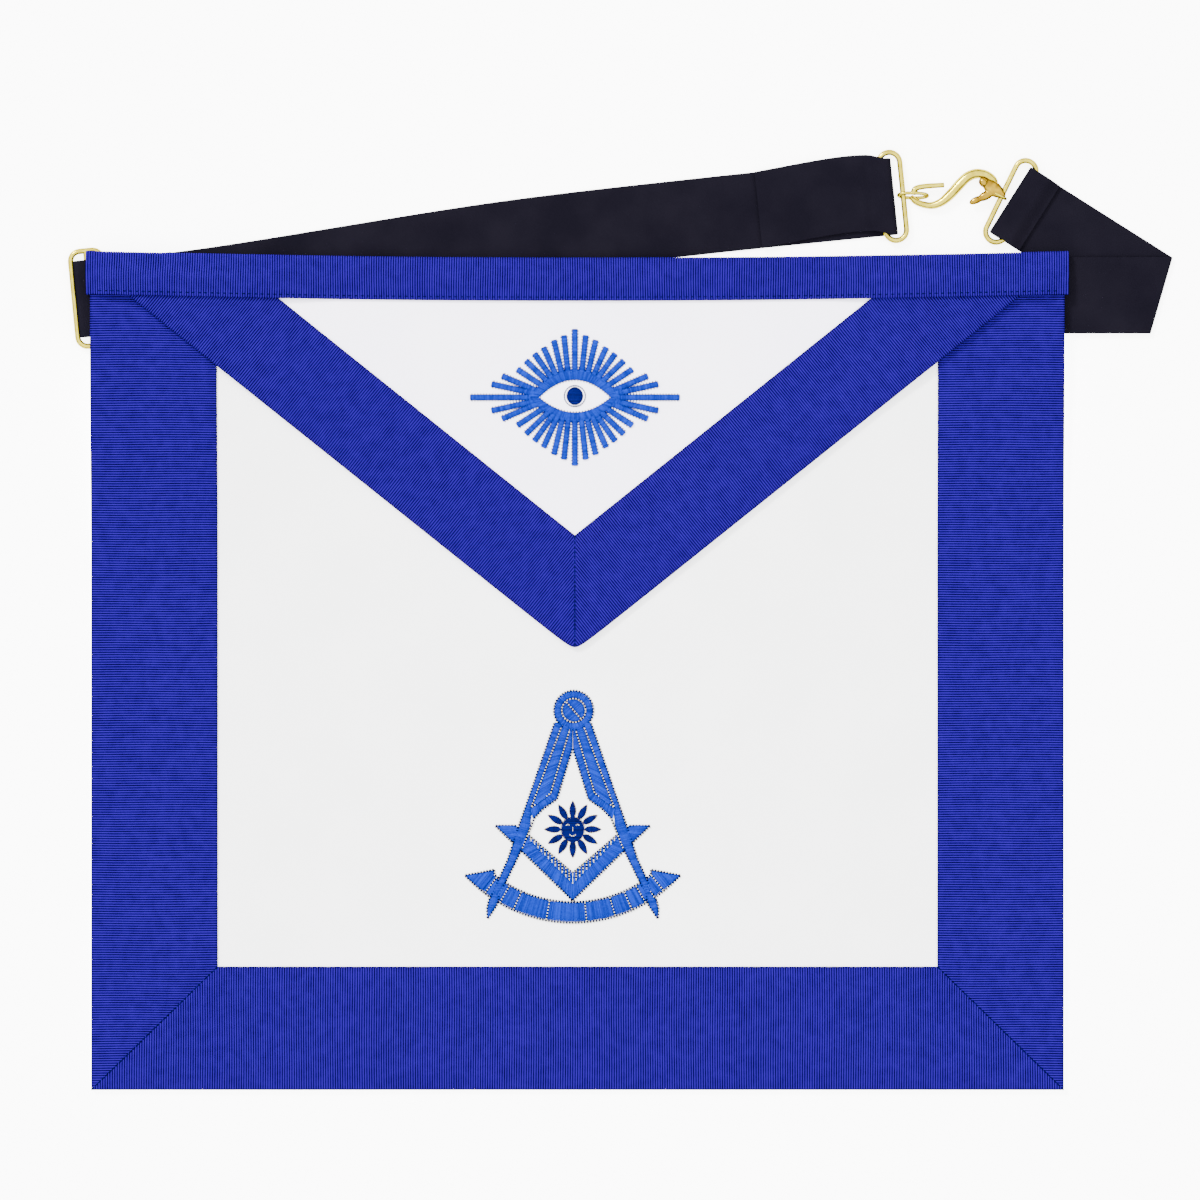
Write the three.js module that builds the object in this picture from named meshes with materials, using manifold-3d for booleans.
// A lodge apron that lies flat on a table, front side up, with its belt clasped above it.
// Millimetres: +X to the right, +Y towards the belt, +Z up from the table.
// The origin is the middle of the leather panel, on its underside.
import * as THREE from 'three';
import { mergeVertices } from 'three/addons/utils/BufferGeometryUtils.js';
import Module from 'manifold-3d';

const manifold = await Module();
manifold.setup();

const { degToRad, lerp, smoothstep } = THREE.MathUtils;

// Driving dimensions of the panel and its ribbons
const apronWidth = 406.4;
const apronHeight = 350.5;
const topSag = 2.6;
const sideRibbonWidth = 52.8;
const bottomRibbonWidth = 51.5;
const bandWidth = 18.3;
const bandOverhang = 1.7;
const bandTuck = 6;
const flapDepth = 165.5;
const flapCornerDrop = 5;
const flapTipRounding = 4.3;
const flapRibbonWidth = 38.1;
const flapShift = -1.1;

// Thicknesses, and the gap between pieces that touch
const leatherThickness = 1.2;
const ribbonThickness = 1;
const strapThickness = 1.2;
const embroideryThickness = 1;
const gap = 0.3;

// The belt and its metal
const strapWidth = 32;
const strapTabLength = 36;
const longReturnLength = 52;
const longReturnSway = 2.8;
const shortReturnLength = 9.5;
const rightStrapDrop = 18.4;
const foldReach = 41;
const foldAngle = 16.15;
const diagonalLength = 69.8;
const wireThickness = 2;
const loopSlack = 2.6;
const ringLength = 39;
const ringWidth = 10.8;
const rightRingTurn = 6.4;
const sliderLength = 41.8;
const sliderWidth = 15.2;
const sliderCorner = 4;
const hookWire = 1.2;
const hookEyeLength = 8.3;
const hookHeadThickness = 1.4;

// The embroidery
const eyeDrop = 61.2;
const eyeLength = 39.6;
const irisRadius = 3.7;
const rayWidth = 2.2;
const compassesHeight = 95.4;
const compassesShift = -2;
const compassesBelowFlap = 18.1;
const hingeRadius = 8.3;
const sunRadius = 5.4;
const sunRayReach = 11.9;
const sunRayWidth = 2.9;
const sunRayCount = 12;

// Sizes worked out from the driving dimensions
const halfWidth = apronWidth / 2;
const halfHeight = apronHeight / 2;
const strapLayer = strapThickness + gap;
const ribbonLayer = ribbonThickness + gap;
const leatherLayer = leatherThickness + gap;
const barHeight = strapLayer + wireThickness / 2;
const wrapRadius = wireThickness / 2 + gap + strapThickness / 2;
const bandFoldRadius = leatherThickness / 2 + gap + ribbonThickness / 2;
const sideInner = halfWidth - sideRibbonWidth;
const mitreShift = gap / Math.SQRT2;

// The panel lies flat up to riseStart and climbs onto the straps beneath it up to riseEnd
const riseStart = halfHeight * 0.23;
const leftStrapReach = strapWidth * 1.16;
const riseEnd = halfHeight - leftStrapReach;
const drapeReach = sideRibbonWidth * 0.5;

// Height of the panel's underside near its top edge, across as a share of half the width,
// with the steps of the mesh that lead up to each row
const leftStack = 2 * strapLayer + wireThickness + gap + ribbonLayer;
const middleStack = strapLayer + ribbonLayer;
const rightStack = 2 * strapLayer + ribbonLayer;
const panelLifts = [
  { across: -0.78, lift: leftStack, steps: 3 },
  { across: -0.28, lift: middleStack, steps: 6 },
  { across: 0.28, lift: middleStack, steps: 3 },
  { across: 0.76, lift: rightStack, steps: 6 },
];

// Centreline of the long strap, from the slider's middle bar to the left ring's inner bar:
// across as a share of half the width, above as a share of the strap's width over the top corners
const strapRoute = [
  { across: -1.0025, above: -0.614 },
  { across: -0.8, above: -0.489 },
  { across: -0.149, above: 0.158 },
  { across: 0.261, above: 0.464 },
  { across: 0.6265, above: 0.7016 },
];

// Path of the hook's body: along and up as shares of the span between the two rings,
// height as a share of the height of the rings' wire, thick as a share of the hook's wire
const hookPath = [
  { along: 0.081, up: -0.01, height: 0.36, thick: 1.35 },
  { along: 0.134, up: -0.062, height: 0.64, thick: 1.7 },
  { along: 0.275, up: -0.1, height: 0.88, thick: 1.95 },
  { along: 0.376, up: -0.072, height: 1, thick: 2.4 },
  { along: 0.476, up: 0.01, height: 1, thick: 3 },
  { along: 0.577, up: 0.124, height: 1, thick: 3.2 },
  { along: 0.656, up: 0.199, height: 1, thick: 3.1 },
  { along: 0.746, up: 0.232, height: 1, thick: 2.8 },
  { along: 0.847, up: 0.215, height: 1, thick: 2.5 },
  { along: 0.916, up: 0.158, height: 1, thick: 2.2 },
  { along: 0.931, up: 0.081, height: 0.68, thick: 1.7 },
];
// The body's end goes under the right ring's outer bar, round it and back over it:
// past and over it as shares of the distance between the two wires
const hookBight = [
  { past: -0.9, over: -0.85 },
  { past: 0.2, over: -0.95 },
  { past: 0.85, over: -0.6 },
  { past: 1.05, over: 0 },
  { past: 0.85, over: 0.6 },
  { past: 0.1, over: 1 },
  { past: -1.7, over: 1.12 },
];
const hookProng = [
  { along: 0.096, up: 0.007, height: 1.68, thick: 1 },
  { along: 0.117, up: 0.062, height: 1.6, thick: 1.25 },
  { along: 0.177, up: 0.086, height: 1.44, thick: 1.25 },
  { along: 0.416, up: 0.11, height: 1.28, thick: 1.1 },
];
// Outline of the hook's flat head, in shares of the span between the rings
const hookHead = [
  { along: 0.985, up: 0.02 },
  { along: 0.976, up: 0.06 },
  { along: 0.907, up: 0.129 },
  { along: 0.847, up: 0.153 },
  { along: 0.766, up: 0.17 },
  { along: 0.751, up: 0.129 },
  { along: 0.778, up: 0.089 },
  { along: 0.816, up: 0.06 },
  { along: 0.756, up: 0.01 },
  { along: 0.667, up: -0.041 },
  { along: 0.656, up: -0.081 },
  { along: 0.696, up: -0.081 },
  { along: 0.766, up: -0.041 },
  { along: 0.847, up: -0.012 },
  { along: 0.947, up: -0.012 },
];

// One quarter of the rays round the eye, in shares of half the eye's length
const eyeRays = [
  { rootAcross: 0.9, rootUp: 0, tipAcross: 2.2, tipUp: 0 },
  { rootAcross: 0.8, rootUp: 0.07, tipAcross: 1.75, tipUp: 0.28 },
  { rootAcross: 0.75, rootUp: 0.12, tipAcross: 1.53, tipUp: 0.45 },
  { rootAcross: 0.65, rootUp: 0.22, tipAcross: 1.21, tipUp: 0.59 },
  { rootAcross: 0.55, rootUp: 0.31, tipAcross: 1.03, tipUp: 0.77 },
  { rootAcross: 0.46, rootUp: 0.37, tipAcross: 0.85, tipUp: 0.92 },
  { rootAcross: 0.37, rootUp: 0.41, tipAcross: 0.66, tipUp: 1.05 },
  { rootAcross: 0.26, rootUp: 0.44, tipAcross: 0.44, tipUp: 1.2 },
  { rootAcross: 0.14, rootUp: 0.47, tipAcross: 0.23, tipUp: 1.3 },
  { rootAcross: 0, rootUp: 0.48, tipAcross: 0, tipUp: 1.43 },
];
// The eye's opening and its lids, heights as shares of half the eye's length
const eyeLids = { top: 0.61, bottom: -0.53, openHalf: 0.75, openTop: 0.36, openBottom: -0.31 };

// One leg of the compasses, in shares of their height, down from the top of the hinge
const compassesLeg = [
  { across: 0, down: 0.136 },
  { across: 0.085, down: 0.151 },
  { across: 0.198, down: 0.483 },
  { across: 0.285, down: 0.74 },
  { across: 0.349, down: 0.886 },
  { across: 0.376, down: 0.955 },
  { across: 0.373, down: 1 },
  { across: 0.333, down: 0.943 },
  { across: 0.321, down: 0.886 },
  { across: 0.222, down: 0.694 },
  { across: 0.17, down: 0.562 },
  { across: 0.132, down: 0.521 },
  { across: 0.068, down: 0.476 },
  { across: 0, down: 0.253 },
];
// The square's right arm, in the same shares
const squareArm = [
  { across: 0, down: 0.921 },
  { across: 0.341, down: 0.592 },
  { across: 0.24, down: 0.594 },
  { across: 0, down: 0.797 },
];
// The quadrant's band: where its arcs are centred and how far out they lie, in the same shares,
// and how far they turn, in degrees
const quadrant = {
  centreDown: 0.376,
  inner: 0.55,
  outer: 0.6415,
  spread: 37.5,
  tip: 47.5,
};
const sunDown = 0.608;
// Half of a leaf of the sun: out as a share of its reach, aside as a share of its width
const sunLeaf = [
  { out: 0.32, aside: 0.3 },
  { out: 0.68, aside: 0.5 },
  { out: 1, aside: 0 },
];

// Materials
function material(color, roughness, metalness) {
  return new THREE.MeshStandardMaterial({ color, roughness, metalness });
}
const whiteLeather = material(0xf0f0f4, 0.6, 0);
const blueGrosgrain = material(0x2430a8, 0.75, 0);
const blackWebbing = material(0x24222f, 0.85, 0);
const paleGold = material(0xdcc67c, 0.25, 1);
const blueThread = material(0x3273eb, 0.5, 0);

// Joins and cuts

function solidOf(geometry) {
  geometry.deleteAttribute('normal');
  geometry.deleteAttribute('uv');
  const merged = mergeVertices(geometry);
  const mesh = new manifold.Mesh({
    numProp: 3,
    vertProperties: merged.attributes.position.array,
    triVerts: Uint32Array.from(merged.index.array),
  });
  return new manifold.Manifold(mesh);
}

function joined(geometries) {
  let solid = solidOf(geometries[0]);
  for (const geometry of geometries.slice(1)) {
    solid = solid.add(solidOf(geometry));
  }
  const mesh = solid.getMesh();
  const result = new THREE.BufferGeometry();
  result.setAttribute('position', new THREE.BufferAttribute(mesh.vertProperties, 3));
  result.setIndex(new THREE.BufferAttribute(mesh.triVerts, 1));
  result.computeVertexNormals();
  return result;
}

// Moves every corner of a geometry to the place that a function gives for it
function reshape(geometry, place) {
  const position = geometry.attributes.position;
  const corner = new THREE.Vector3();
  for (let index = 0; index < position.count; index += 1) {
    corner.fromBufferAttribute(position, index);
    const placed = place(corner, index);
    position.setXYZ(index, placed.x, placed.y, placed.z);
  }
  geometry.computeVertexNormals();
  return geometry;
}

// A box cut into columns and rows, bent so that each corner lies where place puts it
function bentBox(columns, rows, place) {
  const box = new THREE.BoxGeometry(1, 1, 1, columns, rows, 1);
  return reshape(box, (corner) => {
    const column = Math.round((corner.x + 0.5) * columns);
    const row = Math.round((corner.y + 0.5) * rows);
    return place(column, row, corner.z + 0.5);
  });
}

// Stations along a line: each leg adds even steps up to its end
function stationsAlong(start, legs) {
  const stations = [start];
  for (const leg of legs) {
    const from = stations[stations.length - 1];
    for (let step = 1; step <= leg.steps; step += 1) {
      stations.push(lerp(from, leg.to, step / leg.steps));
    }
  }
  return stations;
}

// A sheet of even thickness that lies on the height given for each point of its underside
function sheet(columns, rowsAt, thickness, undersideAt) {
  const rowCount = rowsAt(columns[0]).length;
  return bentBox(columns.length - 1, rowCount - 1, (column, row, side) => {
    const x = columns[column];
    const y = rowsAt(x)[row];
    return new THREE.Vector3(x, y, undersideAt(x, y) + thickness * side);
  });
}

// Heights of the layers

function liftAlong(rows, across) {
  let lift = rows[0].lift;
  for (let index = 1; index < rows.length; index += 1) {
    const before = rows[index - 1];
    const row = rows[index];
    lift += (row.lift - before.lift) * smoothstep(across, before.across, row.across);
  }
  return lift;
}

function panelUnderside(x, y) {
  return liftAlong(panelLifts, x / halfWidth) * smoothstep(y, riseStart, riseEnd);
}

function panelTopside(x, y) {
  return panelUnderside(x, y) + leatherLayer;
}

function flapUnderside(x, y) {
  const overSideRibbon = smoothstep(Math.abs(x), sideInner - drapeReach, sideInner);
  return panelTopside(x, y) + ribbonLayer * overSideRibbon;
}

function flapTopside(x, y) {
  return flapUnderside(x, y) + leatherLayer;
}

// Edges

function topEdge(x) {
  const across = x / halfWidth;
  return halfHeight - topSag * (1 - across * across);
}

function panelTop(x) {
  return topEdge(x) - bandFoldRadius - ribbonThickness / 2;
}

function bandBottom(x) {
  return topEdge(x) - bandWidth;
}

function tuckedTop(x) {
  return bandBottom(x) + bandTuck;
}

const flapTip = halfHeight - flapDepth;
const flapSlope = (flapDepth - flapCornerDrop) / (halfWidth - flapTipRounding);
const flapPoint = flapTip - flapSlope * flapTipRounding;
const flapAngle = Math.atan(flapSlope);
const flapRibbonRise = flapRibbonWidth / Math.cos(flapAngle);

function flapOutline(x) {
  return flapPoint + flapSlope * Math.hypot(x - flapShift, flapTipRounding);
}

function flapRibbonInner(x) {
  return flapPoint + flapRibbonRise + flapSlope * Math.abs(x - flapShift);
}

// How far from the middle an edge of the flap reaches the height where it is tucked in
const tuckHeight = halfHeight - bandWidth + bandTuck;
const flapTuckReach = (tuckHeight - flapPoint) / flapSlope;
const flapRibbonTuckReach = (tuckHeight - flapPoint - flapRibbonRise) / flapSlope;
const flapCornerInset = bandTuck / 3;
const flapHalf = flapTuckReach - flapCornerInset;
const bandMeetsFlapRibbon = flapRibbonTuckReach - bandTuck / flapSlope;

// The leather panel and the ribbons sewn on it

function rowsUpTo(bottom, top) {
  const legs = [{ to: riseStart, steps: 1 }, { to: riseEnd, steps: 9 }, { to: top, steps: 2 }];
  return stationsAlong(bottom, legs);
}

function bodyPanel() {
  const legs = panelLifts.map((row) => ({ to: row.across * halfWidth, steps: row.steps }));
  const columns = stationsAlong(-halfWidth, [...legs, { to: halfWidth, steps: 3 }]);
  const rowsAt = (x) => rowsUpTo(-halfHeight, panelTop(x));
  return sheet(columns, rowsAt, leatherThickness, panelUnderside);
}

// Height of the mitre line between side and bottom ribbons, inwards from the outer corner
function mitreHeight(x) {
  const inwards = Math.min(halfWidth - Math.abs(x), sideRibbonWidth);
  return -halfHeight + inwards * bottomRibbonWidth / sideRibbonWidth;
}

function sideRibbon(innerX, outerX) {
  const left = Math.min(innerX, outerX);
  const right = Math.max(innerX, outerX);
  const columns = stationsAlong(left, [{ to: right, steps: 3 }]);
  const rowsAt = (x) => rowsUpTo(mitreHeight(x) + mitreShift, tuckedTop(x));
  return sheet(columns, rowsAt, ribbonThickness, panelTopside);
}

function bottomRibbon() {
  const end = halfWidth - ribbonThickness;
  const columns = stationsAlong(-end, [
    { to: -sideInner, steps: 2 },
    { to: sideInner, steps: 2 },
    { to: end, steps: 2 },
  ]);
  const rowsAt = (x) => [-halfHeight, mitreHeight(x) - mitreShift];
  return sheet(columns, rowsAt, ribbonThickness, panelTopside);
}

// The flap and its ribbons

// Stations across one half of the flap, from its seam to its tucked corner
function flapColumns(side, seam) {
  return stationsAlong(seam, [
    { to: side * flapTipRounding * 3, steps: 4 },
    { to: side * (sideInner - drapeReach), steps: 8 },
    { to: side * sideInner, steps: 6 },
    { to: side * flapHalf, steps: 4 },
  ]);
}

function flapPanel() {
  const left = flapColumns(-1, flapShift).slice(1).reverse();
  const columns = [...left, ...flapColumns(1, flapShift)];
  const rowsAt = (x) => stationsAlong(flapOutline(x), [{ to: tuckedTop(x), steps: 8 }]);
  return sheet(columns, rowsAt, leatherThickness, flapUnderside);
}

// A strip from the flap's outline inwards, from the seam at the tip to the tuck under the band
function flapRibbon(side) {
  const columns = flapColumns(side, flapShift + side * gap / 2);
  if (side < 0) {
    columns.reverse();
  }
  const rowsAt = (x) => {
    const inner = Math.min(flapRibbonInner(x), tuckedTop(x));
    return stationsAlong(flapOutline(x), [{ to: inner, steps: 4 }]);
  };
  return sheet(columns, rowsAt, ribbonThickness, flapTopside);
}

// Unit normals along a profile of points, to the left of the way it runs
function normalsAlong(profile) {
  return profile.map((point, index) => {
    const before = profile[Math.max(index - 1, 0)];
    const after = profile[Math.min(index + 1, profile.length - 1)];
    const along = after.along - before.along;
    const over = after.over - before.over;
    const length = Math.hypot(along, over);
    return { along: -over / length, over: along / length };
  });
}

// The band folded over the top edge: how much of the flap and ribbons it covers at each place
const bandLifts = [
  { across: bandMeetsFlapRibbon - drapeReach, lift: leatherLayer },
  { across: bandMeetsFlapRibbon, lift: leatherLayer + ribbonLayer },
  { across: sideInner, lift: leatherLayer + 2 * ribbonLayer },
  { across: flapTuckReach, lift: leatherLayer + 2 * ribbonLayer },
  { across: halfWidth, lift: ribbonLayer },
];

function bandProfile(x) {
  const bottom = bandBottom(x);
  const top = panelTop(x);
  const heldTo = tuckedTop(x) + ribbonThickness;
  const middle = panelUnderside(x, top) + leatherThickness / 2;
  const lift = liftAlong(bandLifts, Math.abs(x));
  const profile = [{ along: bottom, over: middle + bandFoldRadius + lift }];
  for (let step = 0; step <= 3; step += 1) {
    const along = lerp(heldTo, top, step / 4);
    const left = 1 - smoothstep(along, heldTo, top);
    profile.push({ along, over: middle + bandFoldRadius + lift * left });
  }
  for (let step = 0; step <= 5; step += 1) {
    const turn = Math.PI / 2 - Math.PI * step / 5;
    const along = top + bandFoldRadius * Math.cos(turn);
    profile.push({ along, over: middle + bandFoldRadius * Math.sin(turn) });
  }
  profile.push({ along: bottom, over: middle - bandFoldRadius });
  return profile;
}

function topBand() {
  const end = halfWidth + bandOverhang;
  const inner = bandMeetsFlapRibbon - drapeReach;
  const columns = stationsAlong(-end, [
    { to: -flapTuckReach, steps: 3 },
    { to: -sideInner, steps: 3 },
    { to: -bandMeetsFlapRibbon, steps: 4 },
    { to: -inner, steps: 4 },
    { to: inner, steps: 9 },
    { to: bandMeetsFlapRibbon, steps: 4 },
    { to: sideInner, steps: 4 },
    { to: flapTuckReach, steps: 3 },
    { to: end, steps: 3 },
  ]);
  const profiles = columns.map(bandProfile);
  const normals = profiles.map(normalsAlong);
  return bentBox(columns.length - 1, profiles[0].length - 1, (column, row, side) => {
    const point = profiles[column][row];
    const normal = normals[column][row];
    const offset = (side - 0.5) * ribbonThickness;
    const y = point.along + normal.along * offset;
    const z = point.over + normal.over * offset;
    return new THREE.Vector3(columns[column], y, z);
  });
}

// The belt

const routeCurve = new THREE.CatmullRomCurve3(strapRoute.map((row) => {
  return new THREE.Vector3(row.across * halfWidth, halfHeight + row.above * strapWidth, 0);
}));
const routeLength = routeCurve.getLength();

// A place on the long strap's centreline and the way it heads there, past its ends too
function routeAt(along) {
  const share = Math.min(Math.max(along / routeLength, 0), 1);
  const heading = routeCurve.getTangentAt(share);
  const place = routeCurve.getPointAt(share);
  place.addScaledVector(heading, along - share * routeLength);
  return { place, heading };
}

// A strap of the given profile: along its run, over the table, with sway and skew sideways
function strap(profile, place) {
  const normals = normalsAlong(profile);
  return bentBox(profile.length - 1, 1, (column, row, side) => {
    const point = profile[column];
    const offset = (side - 0.5) * strapThickness;
    const along = point.along + normals[column].along * offset;
    const over = point.over + normals[column].over * offset;
    const across = (row - 0.5) * strapWidth;
    const skewed = along + across * (point.skew ?? 0);
    return place(skewed, across + (point.sway ?? 0), over);
  });
}

// Half a turn round a wire, from one face of the strap's run to the other
function wrapProfile(centre, way, from, to) {
  const steps = 7;
  const profile = [];
  for (let step = 0; step <= steps; step += 1) {
    const turn = lerp(from, to, step / steps);
    const along = centre + way * wrapRadius * Math.cos(turn);
    profile.push({ along, over: wrapRadius + wrapRadius * Math.sin(turn) });
  }
  return profile;
}

// The end of a strap that comes back over its ring and settles on the run beneath it
function returnProfile(bar, length, sway) {
  const held = wireThickness * 1.6;
  const settled = held + wireThickness * 3;
  const steps = Math.max(4, Math.round(length / wireThickness / 3));
  const profile = [];
  for (let step = 0; step <= steps; step += 1) {
    const back = lerp(held, length, step / steps);
    const sunk = smoothstep(back, held, settled) * (2 * wrapRadius - strapLayer);
    const swayed = sway * Math.sin(Math.PI * Math.sqrt(back / length));
    profile.push({ along: bar - back, over: 2 * wrapRadius - sunk, sway: swayed });
  }
  return profile;
}

function longStrap() {
  const quarter = Math.PI / 2;
  const run = stationsAlong(loopSlack, [{ to: routeLength - loopSlack, steps: 12 }]);
  const profile = [
    { along: strapTabLength, over: 2 * wrapRadius },
    ...wrapProfile(-loopSlack, -1, quarter, -quarter),
    ...run.map((along) => ({ along, over: 0 })),
    ...wrapProfile(routeLength + loopSlack, 1, -quarter, quarter),
    ...returnProfile(routeLength, longReturnLength, longReturnSway),
  ];
  return strap(profile, (along, across, over) => {
    const { place, heading } = routeAt(along);
    const x = place.x - heading.y * across;
    const y = place.y + heading.x * across;
    return new THREE.Vector3(x, y, over + strapThickness / 2);
  });
}

// The short strap is folded once, under itself, along a slanted line
const foldRadius = strapLayer / 2;
const foldTurn = degToRad(foldAngle);
const foldLength = Math.PI * foldRadius;
const foldStart = halfWidth + foldReach - (foldRadius + strapThickness / 2) / Math.cos(foldTurn);
const shortStrapHeight = halfHeight - rightStrapDrop;
const upperRun = strapLayer + strapThickness / 2;
const shortBar = foldStart + foldLength / 2 / Math.cos(foldTurn) + diagonalLength;

// Takes a point of the strap as it was before the fold to where it lies after it
function foldedUnder(along, across, over) {
  const fromStart = along - foldStart;
  const past = fromStart * Math.cos(foldTurn) - across * Math.sin(foldTurn);
  const beside = fromStart * Math.sin(foldTurn) + across * Math.cos(foldTurn);
  let reach = past;
  let z = upperRun + over;
  if (past > foldLength) {
    reach = foldLength - past;
    z = upperRun - 2 * foldRadius - over;
  } else if (past > 0) {
    const turn = past / foldRadius;
    reach = (foldRadius + over) * Math.sin(turn);
    z = upperRun - foldRadius + (foldRadius + over) * Math.cos(turn);
  }
  const x = foldStart + reach * Math.cos(foldTurn) + beside * Math.sin(foldTurn);
  const y = shortStrapHeight - reach * Math.sin(foldTurn) + beside * Math.cos(foldTurn);
  return new THREE.Vector3(x, y, z);
}

function shortStrap() {
  const steps = 6;
  const skew = Math.tan(foldTurn);
  const profile = [{ along: halfWidth - strapTabLength, over: 0 }];
  for (let step = 0; step <= steps; step += 1) {
    const along = foldStart + foldLength * step / steps / Math.cos(foldTurn);
    profile.push({ along, over: 0, skew });
  }
  const wrapped = [
    ...stationsAlong(shortBar - shortReturnLength, [{ to: shortBar, steps: 2 }])
      .map((along) => ({ along, over: 0 })),
    ...wrapProfile(shortBar + loopSlack, 1, -Math.PI / 2, Math.PI / 2),
    ...returnProfile(shortBar, shortReturnLength, 0),
  ];
  for (const point of wrapped) {
    profile.push({ along: point.along, over: -point.over });
  }
  return strap(profile, foldedUnder);
}

// The metal

// A tube round a closed path: points and outward normals in a plane with the given axis
function closedTube(path, axis, radius, sides) {
  const steps = path.length;
  const torus = new THREE.TorusGeometry(1, 0.25, sides, steps);
  return reshape(torus, (corner, index) => {
    const { place, outward } = path[index % (steps + 1) % steps];
    const turn = Math.floor(index / (steps + 1)) / sides * 2 * Math.PI;
    return place.clone()
      .addScaledVector(outward, radius * Math.cos(turn))
      .addScaledVector(axis, radius * Math.sin(turn));
  });
}

// A rectangle with round corners, as a closed path in the plane of two axes
function roundedPath(centre, right, up, halfAcross, halfAlong, corner, cornerSteps) {
  const path = [];
  for (let quarter = 0; quarter < 4; quarter += 1) {
    const toRight = quarter === 0 || quarter === 3 ? 1 : -1;
    const upward = quarter < 2 ? 1 : -1;
    for (let step = 0; step <= cornerSteps; step += 1) {
      const turn = (quarter + step / cornerSteps) * Math.PI / 2;
      const outward = right.clone().multiplyScalar(Math.cos(turn));
      outward.addScaledVector(up, Math.sin(turn));
      const place = centre.clone()
        .addScaledVector(right, toRight * (halfAcross - corner))
        .addScaledVector(up, upward * (halfAlong - corner))
        .addScaledVector(outward, corner);
      path.push({ place, outward });
    }
  }
  return path;
}

const upAxis = new THREE.Vector3(0, 0, 1);
const wireRadius = wireThickness / 2;
const wireSides = 10;

function wireLoop(centre, heading, width, length, corner, cornerSteps) {
  const sideways = new THREE.Vector3().crossVectors(upAxis, heading);
  const halfAcross = (width - wireThickness) / 2;
  const halfAlong = (length - wireThickness) / 2;
  const path = roundedPath(centre, heading, sideways, halfAcross, halfAlong, corner, cornerSteps);
  return closedTube(path, upAxis, wireRadius, wireSides);
}

const ringHalf = (ringWidth - wireThickness) / 2;

// Each ring: the middle of its inner bar, which a strap wraps, and the way to its outer bar
function leftRingSeat() {
  const { place, heading } = routeAt(routeLength);
  return { bar: place.setZ(barHeight), heading };
}

function rightRingSeat() {
  const bar = foldedUnder(shortBar, 0, -wrapRadius);
  const turn = Math.PI - 2 * foldTurn + degToRad(rightRingTurn);
  return { bar, heading: new THREE.Vector3(Math.cos(turn), Math.sin(turn), 0) };
}

function outerBar(seat) {
  return seat.bar.clone().addScaledVector(seat.heading, 2 * ringHalf);
}

function ring(seat) {
  const centre = seat.bar.clone().addScaledVector(seat.heading, ringHalf);
  return wireLoop(centre, seat.heading, ringWidth, ringLength, ringHalf, 5);
}

// A straight or curved bar that tapers, through points that each have a radius
function taperedBar(points, radii, sides, steps) {
  const curve = new THREE.CatmullRomCurve3(points, false, 'centripetal');
  const frames = curve.computeFrenetFrames(steps);
  const cylinder = new THREE.CylinderGeometry(1, 1, 1, sides, steps);
  return reshape(cylinder, (corner) => {
    const step = Math.round((corner.y + 0.5) * steps);
    const at = curve.getUtoTmapping(step / steps) * (points.length - 1);
    const before = Math.min(Math.floor(at), points.length - 2);
    const radius = lerp(radii[before], radii[before + 1], at - before);
    return curve.getPointAt(step / steps)
      .addScaledVector(frames.normals[step], corner.x * radius)
      .addScaledVector(frames.binormals[step], -corner.z * radius);
  });
}

function sliderBuckle() {
  const { place, heading } = routeAt(0);
  const centre = place.setZ(barHeight);
  const sideways = new THREE.Vector3().crossVectors(upAxis, heading);
  const frame = wireLoop(centre, heading, sliderWidth, sliderLength, sliderCorner, 3);
  const reach = (sliderLength - wireThickness) / 2;
  const ends = [
    centre.clone().addScaledVector(sideways, -reach),
    centre.clone().addScaledVector(sideways, reach),
  ];
  const barRadius = wireRadius * 0.9;
  return joined([frame, taperedBar(ends, [barRadius, barRadius], wireSides, 1)]);
}

// The hook lies between the outer bars of the two rings
function snakeHook() {
  const start = outerBar(leftRingSeat());
  const rightSeat = rightRingSeat();
  const end = outerBar(rightSeat);
  const span = end.distanceTo(start);
  const along = end.clone().sub(start).normalize();
  const up = new THREE.Vector3().crossVectors(upAxis, along);
  const hookRadius = hookWire / 2;
  const clasp = wireRadius + gap + hookRadius;

  const placeAt = (row) => start.clone()
    .addScaledVector(along, row.along * span)
    .addScaledVector(up, row.up * span)
    .setZ(row.height * barHeight);
  const radiusAt = (row) => row.thick * hookRadius;

  // Round the right ring's outer bar: under it, past it and back over it
  const away = rightSeat.heading.clone().negate();
  const bight = hookBight.map((row) => {
    const point = end.clone().addScaledVector(away, row.past * clasp);
    return point.setZ(barHeight + row.over * clasp);
  });
  const bodyPoints = [...hookPath.map(placeAt), ...bight];
  const bodyRadii = [...hookPath.map(radiusAt), ...bight.map(() => hookRadius)];
  const body = taperedBar(bodyPoints, bodyRadii, 10, 44);
  const prong = taperedBar(hookProng.map(placeAt), hookProng.map(radiusAt), 8, 9);

  const eyeCentre = start.clone().addScaledVector(along, hookEyeLength / 2);
  const eyeHalf = hookEyeLength / 2 + clasp;
  const eyePath = roundedPath(eyeCentre, along, upAxis, eyeHalf, clasp, clasp, 5);
  const eye = closedTube(eyePath, up.clone().negate(), hookRadius, 8);

  const outline = hookHead.map((row) => {
    const point = placeAt({ ...row, height: 0 });
    return new THREE.Vector2(point.x, point.y);
  });
  const head = plate(new THREE.Shape(outline.reverse()), hookHeadThickness);
  head.translate(0, 0, barHeight + clasp - hookHeadThickness / 4);
  return joined([body, prong, eye, head]);
}

// The embroidery

function plate(shape, thickness) {
  return new THREE.ExtrudeGeometry(shape, { depth: thickness, bevelEnabled: false, curveSegments: 10 });
}

function disc(x, y, radius, thickness) {
  const circle = new THREE.Shape();
  circle.absarc(x, y, radius, 0, 2 * Math.PI, false);
  return plate(circle, thickness);
}

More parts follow.
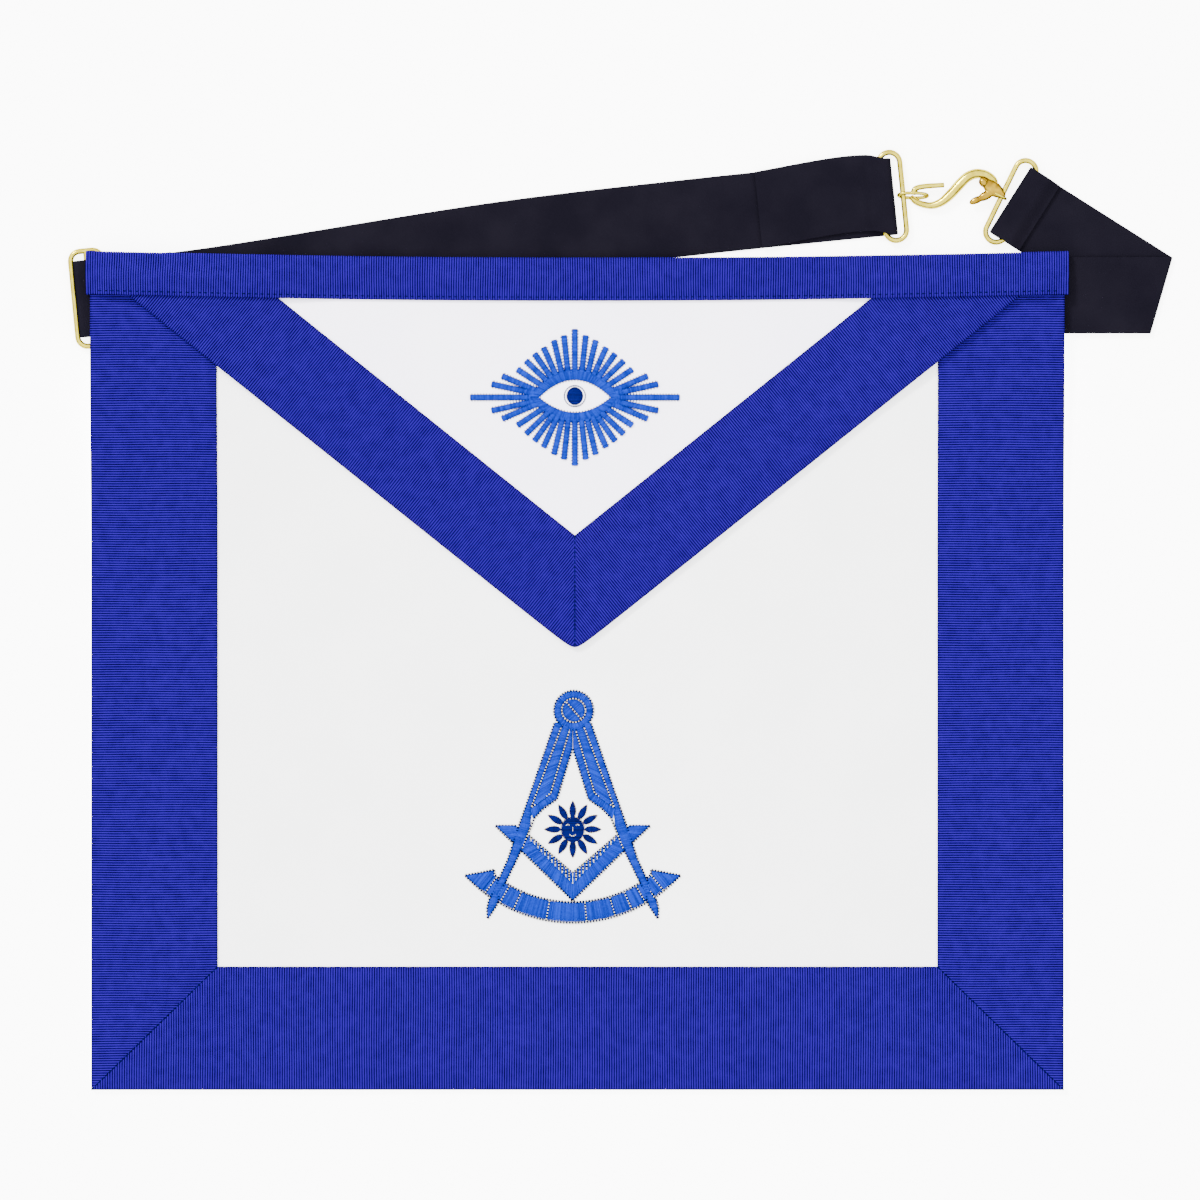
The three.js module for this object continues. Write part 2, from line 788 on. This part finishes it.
// A straight stitched bar from one point to another
function rayShape(fromX, fromY, toX, toY, width) {
  const length = Math.hypot(toX - fromX, toY - fromY);
  const sideX = -(toY - fromY) / length * width / 2;
  const sideY = (toX - fromX) / length * width / 2;
  return new THREE.Shape([
    new THREE.Vector2(fromX - sideX, fromY - sideY),
    new THREE.Vector2(toX - sideX, toY - sideY),
    new THREE.Vector2(toX + sideX, toY + sideY),
    new THREE.Vector2(fromX + sideX, fromY + sideY),
  ]);
}

function almond(half, top, bottom) {
  const shape = new THREE.Shape();
  shape.moveTo(-half, 0);
  shape.quadraticCurveTo(0, 2 * bottom, half, 0);
  shape.quadraticCurveTo(0, 2 * top, -half, 0);
  return shape;
}

// Lays flat embroidery on the flap, in place and following its rise
function laidOnFlap(geometry) {
  return reshape(geometry, (corner) => {
    const x = corner.x + flapShift;
    const y = corner.y + halfHeight - eyeDrop;
    return new THREE.Vector3(x, y, corner.z + flapTopside(x, y));
  });
}

function eyeEmbroidery() {
  const half = eyeLength / 2;
  const lids = almond(half, eyeLids.top * half, eyeLids.bottom * half);
  const openHalf = eyeLids.openHalf * half;
  lids.holes.push(almond(openHalf, eyeLids.openTop * half, eyeLids.openBottom * half));
  const pieces = [plate(lids, embroideryThickness)];
  for (const row of eyeRays) {
    const sidesOfRay = row.tipAcross === 0 ? [1] : [-1, 1];
    const halvesOfRay = row.tipUp === 0 ? [1] : [-1, 1];
    for (const side of sidesOfRay) {
      for (const upward of halvesOfRay) {
        const fromX = side * row.rootAcross * half;
        const fromY = upward * row.rootUp * half;
        const toX = side * row.tipAcross * half;
        const toY = upward * row.tipUp * half;
        pieces.push(plate(rayShape(fromX, fromY, toX, toY, rayWidth), embroideryThickness));
      }
    }
  }
  return laidOnFlap(joined(pieces));
}

function irisEmbroidery() {
  const rise = irisRadius * 0.15;
  return laidOnFlap(disc(0, rise, irisRadius, embroideryThickness));
}

const compassesTop = flapTip - compassesBelowFlap;

// An outline given in shares of the compasses' height, on the right or mirrored to the left
function compassesShape(rows, side) {
  const points = rows.map((row) => {
    const x = compassesShift + side * row.across * compassesHeight;
    return new THREE.Vector2(x, compassesTop - row.down * compassesHeight);
  });
  return new THREE.Shape(points);
}

function quadrantShape() {
  const centreY = compassesTop - quadrant.centreDown * compassesHeight;
  const inner = quadrant.inner * compassesHeight;
  const outer = quadrant.outer * compassesHeight;
  const spread = degToRad(quadrant.spread);
  const tip = degToRad(quadrant.tip);
  const down = -Math.PI / 2;
  const shape = new THREE.Shape();
  shape.absarc(compassesShift, centreY, outer, down - spread, down + spread, false);
  const rightTip = down + tip;
  shape.lineTo(compassesShift + outer * Math.cos(rightTip), centreY + outer * Math.sin(rightTip));
  shape.absarc(compassesShift, centreY, inner, down + spread, down - spread, true);
  const leftTip = down - tip;
  shape.lineTo(compassesShift + outer * Math.cos(leftTip), centreY + outer * Math.sin(leftTip));
  return shape;
}

function compassesEmbroidery() {
  const raised = embroideryThickness * 1.3;
  const hingeY = compassesTop - hingeRadius;
  const pieces = [
    plate(quadrantShape(), embroideryThickness),
    disc(compassesShift, hingeY, hingeRadius, raised),
  ];
  for (const side of [-1, 1]) {
    pieces.push(plate(compassesShape(squareArm, side), embroideryThickness));
    pieces.push(plate(compassesShape(compassesLeg, side), raised));
  }
  return joined(pieces).translate(0, 0, leatherLayer);
}

function sunEmbroidery() {
  const centreY = compassesTop - sunDown * compassesHeight;
  const pieces = [disc(compassesShift, centreY, sunRadius, embroideryThickness)];
  for (let index = 0; index < sunRayCount; index += 1) {
    const turn = Math.PI / 2 + 2 * Math.PI * index / sunRayCount;
    const towards = new THREE.Vector2(Math.cos(turn), Math.sin(turn));
    const aside = new THREE.Vector2(-towards.y, towards.x);
    const at = (row, side) => new THREE.Vector2(compassesShift, centreY)
      .addScaledVector(towards, row.out * sunRayReach)
      .addScaledVector(aside, side * row.aside * sunRayWidth);
    const oneSide = sunLeaf.map((row) => at(row, -1));
    const otherSide = sunLeaf.slice(0, -1).map((row) => at(row, 1)).reverse();
    pieces.push(plate(new THREE.Shape([...oneSide, ...otherSide]), embroideryThickness));
  }
  return joined(pieces).translate(0, 0, leatherLayer);
}

// The apron
const apron = new THREE.Group();

function addPiece(name, geometry, pieceMaterial) {
  const piece = new THREE.Mesh(geometry, pieceMaterial);
  piece.name = name;
  apron.add(piece);
}

addPiece('body_panel', bodyPanel(), whiteLeather);
addPiece('side_ribbon_left', sideRibbon(-sideInner, -halfWidth), blueGrosgrain);
addPiece('side_ribbon_right', sideRibbon(sideInner, halfWidth), blueGrosgrain);
addPiece('bottom_ribbon', bottomRibbon(), blueGrosgrain);
addPiece('flap_panel', flapPanel(), whiteLeather);
addPiece('flap_ribbon_left', flapRibbon(-1), blueGrosgrain);
addPiece('flap_ribbon_right', flapRibbon(1), blueGrosgrain);
addPiece('top_band', topBand(), blueGrosgrain);
addPiece('belt_strap_long', longStrap(), blackWebbing);
addPiece('belt_strap_short', shortStrap(), blackWebbing);
addPiece('slider_buckle', sliderBuckle(), paleGold);
addPiece('ring_left', ring(leftRingSeat()), paleGold);
addPiece('ring_right', ring(rightRingSeat()), paleGold);
addPiece('snake_hook', snakeHook(), paleGold);
addPiece('eye_embroidery', eyeEmbroidery(), blueThread);
addPiece('iris_embroidery', irisEmbroidery(), blueThread);
addPiece('compasses_embroidery', compassesEmbroidery(), blueThread);
addPiece('sun_embroidery', sunEmbroidery(), blueThread);

export default apron;
